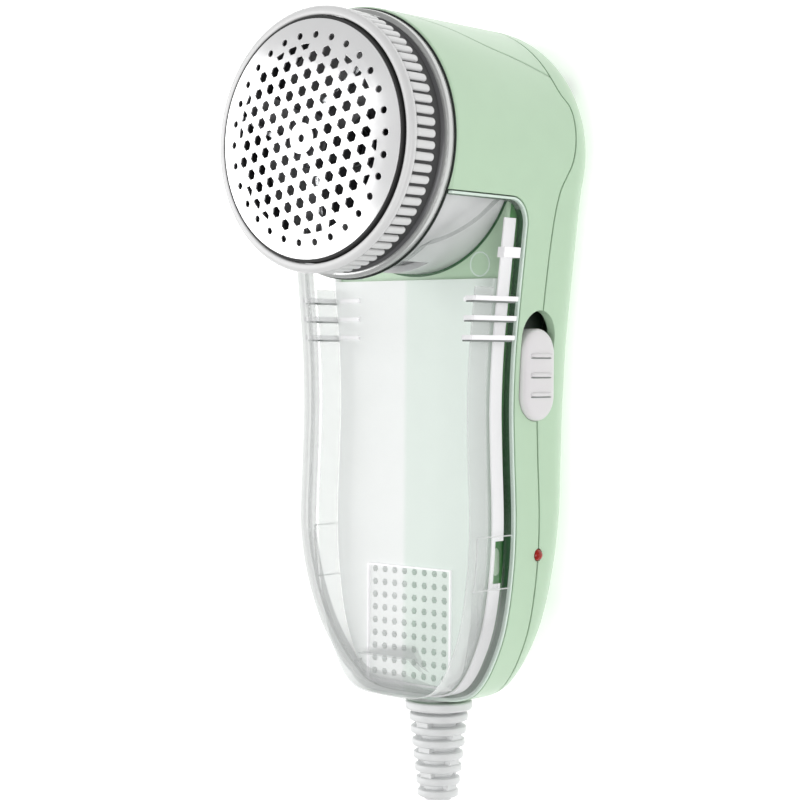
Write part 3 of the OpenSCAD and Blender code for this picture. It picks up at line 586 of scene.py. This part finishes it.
def bay(extra):
    """The space that the tank slides into, grown by extra."""
    corner = (BAY_END - BAY_ROUND, RIM_Z + BAY_ROUND)
    r = BAY_ROUND + extra
    turn = [(corner[0] + r * math.sin(a), corner[1] - r * math.cos(a))
        for a in np.radians(range(0, 91, 5))]
    return across([(-200, RIM_Z - extra)] + turn + [(BAY_END + extra, 200), (-200, 200)])


def leaf(extra):
    """The cover's outline on the head, grown by extra."""
    edge = [(p[0] + extra, p[1] - (extra if p[1] < 16 else 0)) for p in spline(COVER_POINTS, 10)]
    return along(edge + [(-x, z) for x, z in reversed(edge)], HEAD_Y, HEAD_Y + 2 * HEAD_R)


def capsule(r, long, n=24):
    """Stadium outline of the switch's slot, as (y, z)."""
    half = long / 2 - r
    right = [(half + r * math.cos(a), r * math.sin(a)) for a in np.linspace(-math.pi / 2, math.pi / 2, n)]
    return [(SWITCH_Y + u, SWITCH_Z + v) for u, v in right + [(-u, -v) for u, v in right]]


def switch_slot():
    return extruded(capsule(SLOT_R, SLOT_L), 20, 34, lambda u, v, w: (w, u, v))


def lamp_window():
    return extruded(circle(LAMP_R, 32, (LAMP_Y, LAMP_Z)), 18, 38, lambda u, v, w: (w, u, v))


def relief_hole(r, low=-80, high=-60):
    return along(circle(r, 64, (0, CORD_Z)), low, high)


def y_limits(low, high):
    """A stretch of the shaver between two places along it."""
    return block((-100, 100), (low, high), (-20, ABOVE))


# ---------------------------------------------------------------- green shells
def screw_cutters():
    """Holes for the screws and their sunk heads."""
    tools = []
    for x, y in SCREWS:
        tools.append(upright(circle(SCREW_HOLE_R, 32, (x, y)), -1, 29))
        tools.append(upright(circle(SCREW_HEAD_R, 40, (x, y)), -1, float(back_z(y)) + SCREW_SINK))
    return tools


def above_seam(drop):
    """Everything over the seam between front and back."""
    seam = spline(SEAM_POINTS, 8)
    return across([(p[0], p[1] - drop) for p in seam] + [(100, 90), (-80, 90)])


rear = cut(back_solid(0, RIM_Z + 0.5, 14), "DIFFERENCE", [back_solid(WALL, RIM_Z + 2, 9)])
for x, y in SCREWS:
    boss = cut(upright(circle(BOSS_R, 40, (x, y)), 0, 18), "INTERSECT", [back_solid(WALL / 2, RIM_Z, 9)])
    cut(rear, "UNION", [boss])
cut(rear, "DIFFERENCE", [above_seam(SEAM_GAP), switch_slot(), lamp_window(),
    relief_hole(NECK_HOLE_R)] + screw_cutters())
finish_piece(rear, "rear_shell", "housing", LOOKS["shell_green"], ["rear_housing"])


def head_bore(extra):
    """The round space of the duct, grown by extra."""
    return upright(circle(DUCT_R + extra, 192, (0, HEAD_Y)), 5, ABOVE)


front = cut(prism(0, 10, BARREL_TOP - 0.05, BARREL_ROUND), "DIFFERENCE", [prism(WALL, 0, ABOVE),
    bay(LIP_W + LIP_LINE), below_seam(SEAM_GAP), leaf(SEAM_GAP), head_bore(0.2), switch_slot(),
    lamp_window(), relief_hole(NECK_HOLE_R)])
finish_piece(front, "front_shell", "housing", LOOKS["shell_green"], ["front_housing"])

cover = cut(prism(0, 14, BARREL_TOP - 0.05, BARREL_ROUND), "INTERSECT", [leaf(-SEAM_GAP)])
cut(cover, "DIFFERENCE", [prism(WALL, 0, ABOVE), below_seam(SEAM_GAP)])
finish_piece(cover, "top_cover_skin", "housing", LOOKS["shell_green"], ["top_cover"])

# Pale lip round the tank's bay, a dark line in from the green edge
lip = cut(prism(0.1, 20, BARREL_TOP - 0.3), "DIFFERENCE", [prism(1.0, 0, ABOVE), bay(0), head_bore(0.3)])
cut(lip, "INTERSECT", [bay(LIP_W)])
finish_piece(lip, "bay_lip", "housing", lip_white)

# Floor of the gap between the platform and the green rim, painted dark green as the shade in the gap
groove = cut(prism(1.05, RIM_Z - 2, RIM_Z - 0.15), "DIFFERENCE", [
    prism(PLATFORM_INSET + 2, 20, 40, shape=platform_plan), relief_hole(NECK_HOLE_R, -80, -50),
    head_bore(0.3)])
cut(groove, "INTERSECT", [y_limits(-90, BAY_END)])
finish_piece(groove, "gap_shade_floor", "housing", painted_shade_green)

# The platform: its deck, and the foot under it, painted a darker green as the shade under the deck
FOOT_TOP = PLATFORM_Z - 1.3
deck = cut(prism(PLATFORM_INSET, FOOT_TOP, PLATFORM_Z, 0.6, platform_plan), "DIFFERENCE",
    [prism(PLATFORM_INSET + PLATFORM_WALL, 20, PLATFORM_Z - 2, shape=platform_plan), head_bore(0.2),
    relief_hole(NECK_HOLE_R)])
cut(deck, "INTERSECT", [y_limits(-90, BAY_END + 3)])
finish_piece(deck, "platform_deck", "housing", LOOKS["shell_green"])
foot = cut(prism(PLATFORM_INSET + 0.05, RIM_Z - 1.5, FOOT_TOP, shape=platform_plan), "DIFFERENCE",
    [prism(PLATFORM_INSET + PLATFORM_WALL, 20, 40, shape=platform_plan), head_bore(0.2),
    relief_hole(NECK_HOLE_R)])
cut(foot, "INTERSECT", [y_limits(-90, BAY_END + 3)])
finish_piece(foot, "platform_foot", "housing", painted_half_shade_green)

# Painted shade: dark green strips in the recesses round the bay's edge, and where the duct meets the
# platform
recess = cut(prism(1.05, 27, 56), "DIFFERENCE", [prism(3.2, 0, ABOVE), bay(0.02), head_bore(0.3),
    block((-100, 100), (-100, 44), (0, 100))])
cut(recess, "INTERSECT", [bay(0.5)])
finish_piece(recess, "bay_recess_shade", "housing", painted_shade_green)
duct_line = cut(lathe([(DUCT_R + 0.02, PLATFORM_Z - 0.1), (DUCT_R + 0.65, PLATFORM_Z - 0.1),
    (DUCT_R + 0.65, PLATFORM_Z + 0.08), (DUCT_R + 0.02, PLATFORM_Z + 0.12)]), "INTERSECT",
    [y_limits(30, BAY_END - 0.2)])
finish_piece(duct_line, "duct_recess_shade", "housing", painted_shade_green)


def pill(y, z, half, r, low, high, side, dome=0.3):
    """Rounded catch on a side wall, from x = low to x = high."""
    angles = [2 * math.pi * k / 32 + 0.01 for k in range(32)]
    stations = [(0, low), (0, high - dome), (dome * 0.35, high - dome * 0.35), (dome, high)]
    return skin([[(side * x, y + math.copysign(half, math.cos(a)) + (r - inset) * math.cos(a),
        z + (r - inset) * math.sin(a)) for a in angles] for inset, x in stations])


for side, label in ((1, "right"), (-1, "left")):
    catch = pill(CATCH_Y, RIM_Z + 2.6, 2, 1.3, PLATFORM_HALF_W - 1, PLATFORM_HALF_W + 0.3, side)
    finish_piece(catch, "catch_" + label, "housing", LOOKS["shell_green"])
    mark = lathe([(2.6, -0.2), (2.6, 0.06), (2.7, 0.12), (2.9, 0.12), (3.0, 0.06), (3.0, -0.2)], 64,
        (side * 19, 35.5, PLATFORM_Z))
    finish_piece(mark, "deck_mark_" + label, "housing", lip_white)

# ---------------------------------------------------------------- head
# Each outline is (radius, height). First the neck with its cove, painted dark grey as the shade in the
# groove under the ring, the bright rim, and a painted shadow line under it
cove = lathe([(26.4, 56.7), (29.6, 56.7), (29.6, 58.5), (29.1, 58.8), (28.8, 59.2), (28.5, 59.9),
    (28.5, 67.0), (28.3, 67.2), (26.5, 67.2), (26.3, 67.0), (26.3, 56.8)])
finish_piece(cove, "flange_cove", "housing", painted_shade_cove, ["head_flange"], 40)
rim = lathe([(29.55, 56.62), (30.7, 56.62), (30.8, 56.75), (30.8, 58.0), (30.65, 58.3), (30.3, 58.42),
    (29.8, 58.55), (29.55, 58.55)])
finish_piece(rim, "flange_rim", "housing", silver_rim, (), 40)
under_rim = lathe([(29.7, 56.25), (31.12, 56.25), (31.12, 56.54), (31.06, 56.6), (29.7, 56.6)])
finish_piece(under_rim, "flange_shadow", "housing", painted_shade_black, (), 40)

# The ring: a core painted near black as the shade between the bars and in the gap over the flange, a pale
# face, and bars round its grip
core = lathe([(28.65, 59.3), (29.0, 59.3), (29.2, 59.5), (29.2, 68.4), (28.65, 68.4)])
finish_piece(core, "ring_core", "ring", painted_shade_core, ["lock_ring"])
cap = lathe([(27.95, 68.3), (29.75, 68.3), (29.95, 68.4), (30.05, 68.65), (30.0, 69.0), (29.8, 69.35),
    (29.45, 69.62), (29.0, 69.76), (28.5, 69.8), (28.2, 69.78), (28.0, 69.68), (27.92, 69.5)])
finish_piece(cap, "ring_face", "ring", LOOKS["white_plastic"], (), 45)

# The screen's black gasket
band = lathe([(27.03, 67.95), (27.8, 67.95), (27.8, 69.25), (27.62, 69.5), (27.6, 70.2), (27.5, 70.38),
    (27.1, 70.42), (27.03, 70.3)])
finish_piece(band, "gasket_band", "screen", LOOKS["black_rubber"], ["screen_gasket"])


def grip_bars():
    """Rounded bars with rounded ends, side by side round the ring."""
    points, faces = [], []
    width, low, height = 1.92, 29.1, 0.88
    flat, least_swell = 0.75, 0.08
    mid, half = (GRIP_LOW + GRIP_HIGH) / 2, (GRIP_HIGH - GRIP_LOW) / 2
    stations = [-1, -0.975, -0.92, -0.85, -0.75, 0, 0.75, 0.85, 0.92, 0.975, 1]
    around = 10
    for bar in range(GRIP_BARS):
        turn = 2 * math.pi * bar / GRIP_BARS
        first = len(points)
        for s in stations:
            past = max(0, abs(s) - flat) / (1 - flat)
            swell = max(least_swell, math.sqrt(max(0, 1 - past * past)))
            for k in range(around + 1):
                a = math.pi * k / around
                across_bar = width / 2 * swell * math.cos(a)
                r = low - 0.2 if k in (0, around) else low + height * math.sqrt(swell * math.sin(a))
                t = turn + across_bar / RING_R
                points.append((r * math.cos(t), HEAD_Y + r * math.sin(t), mid + half * s))
        faces += skin_faces(len(stations), around + 1, first)
    return solid(points, faces)


finish_piece(grip_bars(), "ring_bars", "ring", LOOKS["white_plastic"], (), 50)

# ---------------------------------------------------------------- clear tank
# Side view of the space over the duct that the tank leaves open, as (y, z)
SKIRT_EDGE = [(38, 200), (38, TANK_FRONT + 1), (BAY_END + 2, RIM_Z + 7), (200, RIM_Z + 7), (200, 200)]


def latch_windows(z, high, y_half):
    return [block((side * 25 - 3, side * 25 + 3), (CATCH_Y - y_half, CATCH_Y + y_half), (z, high))
        for side in (1, -1)]


tank = cut(tank_solid(0, RIM_Z - 4), "DIFFERENCE", [tank_solid(TANK_WALL, RIM_Z - 5), head_bore(0.5),
    relief_hole(TANK_HOLE_R, -90, -50), across(SKIRT_EDGE)]
    + latch_windows(RIM_Z + 1.2, RIM_Z + 4.4, 6.3))
cut(tank, "INTERSECT", [bay(-0.2)])
finish_piece(tank, "tank_shell", "tank", clear_look, ["lint_tank"], 24)


def grip_rib(side, y):
    """One rib: up the tank's side wall, and on along its back panel."""
    rib = cut(tank_solid(-0.8, RIM_Z + 1, 10), "DIFFERENCE", [tank_solid(2.1, RIM_Z, 10)])
    reach = (0, 60) if side > 0 else (-60, 0)
    cut(rib, "INTERSECT", [block(reach, (y - 0.55, y + 0.55), (RIM_Z + 1.2, RIM_Z + 16))])
    return cut(rib, "UNION", [block(sorted((side * 16.4, side * 22.6)), (y - 0.5, y + 0.5),
        (FACE_Z - 0.1, FACE_Z + 0.5))])


def rib_shadow_lines():
    """The painted shadow lines along the cord side of the ribs."""
    lows = [y - RIB_SHADOW_NEAR for y in RIB_YS] + [-90]
    highs = [90] + [y - RIB_SHADOW_FAR for y in RIB_YS]
    between = [block((-60, 60), limits, (-20, ABOVE)) for limits in zip(lows, highs)]
    sheet = cut(tank_solid(-0.2, RIM_Z + 1, 10), "DIFFERENCE", [tank_solid(2.15, RIM_Z, 10)] + between)
    return cut(sheet, "INTERSECT", [block((-60, 60), (10, 30), (RIM_Z + 1.5, RIM_Z + 15.7))])


first_rib, *more_ribs = [grip_rib(side, y) for side in (1, -1) for y in RIB_YS]
finish_piece(cut(first_rib, "UNION", more_ribs), "tank_ribs", "tank", milky)
finish_piece(rib_shadow_lines(), "rib_shadow_strips", "tank", painted_shadow_grey)

# White strip along the back panel's edge, a painted highlight where the tank's inner edge catches the
# light, and a faint white wall inside the tank that whitens its sides as painted highlight
edge_strip = cut(prism(1.95, RIM_Z + 1.6, BACK_PANEL_Z + 0.6), "DIFFERENCE", [prism(2.35, 0, ABOVE),
    head_bore(0.6), relief_hole(TANK_HOLE_R + 0.2, -90, -50)] + latch_windows(RIM_Z, RIM_Z + 4.6, 5))
cut(edge_strip, "INTERSECT", [y_limits(-90, 46)])
finish_piece(edge_strip, "tank_highlight_strip", "tank", milky)

liner = cut(prism(2.55, FACE_Z, RIM_Z + 13.5), "DIFFERENCE", [prism(2.8, 0, ABOVE),
    head_bore(0.6), y_limits(30, ABOVE)])
finish_piece(liner, "tank_sheen_liner", "tank", faint)

tabs = cut(prism(0.2, 29, 35), "DIFFERENCE", [prism(2.2, 0, ABOVE)])
cut(tabs, "INTERSECT", [y_limits(36.8, 39.2)])
finish_piece(tabs, "tank_tabs", "tank", milky)

# Thin frames round the latch windows
plates = cut(tank_solid(-0.12, RIM_Z + 0.5, 10), "DIFFERENCE", [tank_solid(0.3, RIM_Z, 10),
    block((-60, 60), (CATCH_Y - 5.9, CATCH_Y + 6.2), (RIM_Z - 1, RIM_Z + 12.6))])
cut(plates, "INTERSECT", [block((-60, 60), (CATCH_Y - 6.2, CATCH_Y + 6.5), (RIM_Z + 0.9, RIM_Z + 12.9))])
finish_piece(plates, "latch_frames", "tank", faint)

# Pleated filter under the vents, and the raised frame round them
VENT_LOW, VENT_HIGH, PLEATS, PLEAT_UP, PLEAT_DOWN = -64.4, -36.7, 60, 0.06, 0.2
pleats = [(VENT_LOW + (VENT_HIGH - VENT_LOW) * k / PLEATS,
    BACK_PANEL_Z - (PLEAT_UP if k % 2 else PLEAT_DOWN)) for k in range(PLEATS + 1)]
filter_sheet = across(pleats + [(VENT_HIGH, PLATFORM_Z + 0.25), (VENT_LOW, PLATFORM_Z + 0.25)], 12.7)
finish_piece(filter_sheet, "vent_filter", "tank", filter_grey)
vent_frame = cut(block((-13.1, 13.1), (-64.8, -36.3), (FACE_Z - 0.2, FACE_Z + 0.5)), "DIFFERENCE",
    [block((-12.6, 12.6), (-64.3, -36.8), (FACE_Z - 1, FACE_Z + 1))])
finish_piece(vent_frame, "vent_frame", "tank", milky)

# ---------------------------------------------------------------- switch knob
def knob_ring(inset, x, n=40):
    """The knob's outline moved inwards, at x."""
    r, half = KNOB_R - inset, KNOB_L / 2 - KNOB_R
    points = []
    for k in range(2 * n):
        a = math.pi * (k + 0.5) / n
        points.append((x, SWITCH_Y + KNOB_SHIFT + math.copysign(half, math.cos(a)) + r * math.cos(a),
            SWITCH_Z + r * math.sin(a)))
    return points


# How far in from the knob's outline, and at which x
KNOB_EDGE = [(0, 22), (0, 25.9), (0.12, 26.3), (0.4, 26.65), (0.9, 26.92), (1.7, 27.08), (3, 27.2),
    (4.6, 27.26)]
knob = skin([knob_ring(inset, x) for inset, x in KNOB_EDGE])


def bead(y, high, wide, half_long, x=BEAD_X):
    """Round-ended bar along z on the knob's face."""
    ends = [(-1, 0.05), (-0.93, 0.6), (-0.8, 0.9), (-0.5, 1)]
    stations = ends + [(-s, swell) for s, swell in reversed(ends)]
    angles = [2 * math.pi * j / 12 for j in range(12)]
    return skin([[(x + high * swell * math.sin(a), y + wide * swell * math.cos(a),
        SWITCH_Z + half_long * s) for a in angles] for s, swell in stations])


def bead_shadow_line(y):
    """Painted shadow line along the cord side of a bar."""
    return bead(y - BEAD_SHADOW_DROP, 0.3, 0.2, 4.05, BEAD_X + 0.02)


BEADS_Y = [SWITCH_Y + KNOB_SHIFT + BEAD_STEP * k for k in (-1, 0, 1)]
cut(knob, "UNION", [bead(y, 0.72, 0.55, 4.1) for y in BEADS_Y])
finish_piece(knob, "knob", "switch", LOOKS["light_grey"], ["switch_knob"], 40)
# Plate behind the slot, painted near black as the shade in the slot, with the stem that pushes the switch
plate = block((21, 22.1), (SWITCH_Y - 19.1, SWITCH_Y + 14.9), (SWITCH_Z - 6.8, SWITCH_Z + 6.6))
cut(plate, "UNION", [block((16, 21.2), (SWITCH_Y + KNOB_SHIFT - 2, SWITCH_Y + KNOB_SHIFT + 2),
    (SWITCH_Z - 1.5, SWITCH_Z + 1.5))])
finish_piece(plate, "knob_plate", "switch", painted_shade_black)
lines = cut(bead_shadow_line(BEADS_Y[0]), "UNION", [bead_shadow_line(y) for y in BEADS_Y[1:]])
finish_piece(lines, "knob_shadow_lines", "switch", painted_shadow_grey)

# ---------------------------------------------------------------- strain relief
RELIEF_RIBS, RELIEF_START, RELIEF_STEP = 7, 72.7, 3.1


def relief():
    """Collar, tapered core, and ribs with rounded edges, joined by webs on alternate sides."""
    middle = (0, 0, CORD_Z)
    body = lathe([(2.55, 52), (2.55, 61.2), (6.3, 61.2), (6.5, 61.5), (6.5, 63.3), (6.3, 63.6), (4, 63.6),
        (4, 69.7), (7.9, 69.7), (8.2, 70), (8.2, 71.4), (7.9, 71.8), (4.6, 71.8), (3.3, 94),
        (2.53, 94)], 72, middle, "y")
    for k in range(RELIEF_RIBS):
        r, start = 7.2 - 0.36 * k, RELIEF_START + RELIEF_STEP * k
        disc = lathe([(2.7, start), (r - 0.5, start), (r - 0.12, start + 0.2), (r, start + 0.55),
            (r, start + 1.35), (r - 0.12, start + 1.7), (r - 0.5, start + 1.9), (2.7, start + 1.9)],
            72, middle, "y")
        cut(body, "UNION", [disc])
        if k < RELIEF_RIBS - 1:
            reach, half = r - 1.0, 1.7
            low, high = -(start + 3.2), -(start + 1.8)
            web = (block((-reach, reach), (low, high), (CORD_Z - half, CORD_Z + half)) if k % 2 else
                block((-half, half), (low, high), (CORD_Z - reach, CORD_Z + reach)))
            cut(web, "DIFFERENCE", [along(circle(2.8, 32, (0, CORD_Z)), low - 1, high + 1)])
            cut(body, "UNION", [web])
    return body


finish_piece(relief(), "relief_sleeve", "housing", LOOKS["cord_white"], ["strain_relief"])

# ---------------------------------------------------------------- plug
SQUARENESS = 0.28


def plug():
    """Flat rounded grip that swells from the cord's sleeve to the pin face."""
    stations = [(0, 3.7, 3.7), (0.6, 4, 4), (4, 4.1, 4), (7, 5.2, 4.4), (10.5, 8.6, 5.3), (14, 11.6, 6.3),
        (18, 12.9, 6.75), (24, 13, 6.8), (30, 12.9, 6.8), (32, 12.6, 6.6), (32.7, 12, 6.1),
        (33, 11.3, 5.4)]
    x0, y0, z0 = PLUG_ROUTE[-1]
    angles = [2 * math.pi * k / 48 for k in range(48)]
    rings = []
    for along_plug, half_w, half_h in stations:
        # From round at the cord to a rounded rectangle at the pins
        power = 1 - SQUARENESS * min(1, max(0, (along_plug - 4) / 10))
        rings.append([(x0 - along_plug,
            y0 + half_w * math.copysign(abs(math.cos(a)) ** power, math.cos(a)),
            z0 + half_h * math.copysign(abs(math.sin(a)) ** power, math.sin(a))) for a in angles])
    return skin(rings)


plug_piece = finish_piece(plug(), "plug_grip", "housing", LOOKS["plug_white"],
    ["plug_body"], 40)
round(length(cord_line) * MM, 4)


# ---------------------------------------------------------------- floor and light, in metres
FLOOR_HALF, FLOOR_DROP, FLOOR_GLOW, SKY = 3, 0.0002, 0.45, 0.42


def floor():
    points = [(x, y, 0) for x in (-FLOOR_HALF, FLOOR_HALF) for y in (-FLOOR_HALF, FLOOR_HALF)]
    mesh = bpy.data.meshes.new("floor")
    mesh.from_pydata(points, [], [(0, 2, 3, 1)])
    sheet = bpy.data.objects.new("floor", mesh)
    sheet.location.z = -FLOOR_DROP
    bpy.context.collection.objects.link(sheet)
    look = material("floor", (0.93, 0.93, 0.93), 0.8, shade=0.004, scale=3, grain=0)
    glow(look, FLOOR_GLOW)
    sheet.data.materials.append(look)


def softbox(name, place, target, size, power):
    light = bpy.data.lights.new(name, "AREA")
    light.shape = "RECTANGLE"
    light.size, light.size_y = size
    light.energy = power
    box = bpy.data.objects.new(name, light)
    box.location = place
    box.rotation_euler = (Vector(target) - Vector(place)).to_track_quat("-Z", "Y").to_euler()
    bpy.context.collection.objects.link(box)


floor()
world = bpy.data.worlds.new("studio")
world.use_nodes = True
world.node_tree.nodes["Background"].inputs["Color"].default_value = (1, 1, 1, 1)
world.node_tree.nodes["Background"].inputs["Strength"].default_value = SKY
bpy.context.scene.world = world
MIDDLE = (0, 0, 0.03)
softbox("left_box", (-1.25, 0.1, 1.0), MIDDLE, (0.9, 1.6), 13.5)
softbox("front_box", (0.5, -0.3, 1.5), MIDDLE, (1.0, 1.0), 9)
softbox("right_box", (1.6, 0.2, 0.35), MIDDLE, (0.5, 1.4), 1.5)
bpy.context.scene.view_settings.view_transform = "Standard"

bpy.context.view_layer.update()
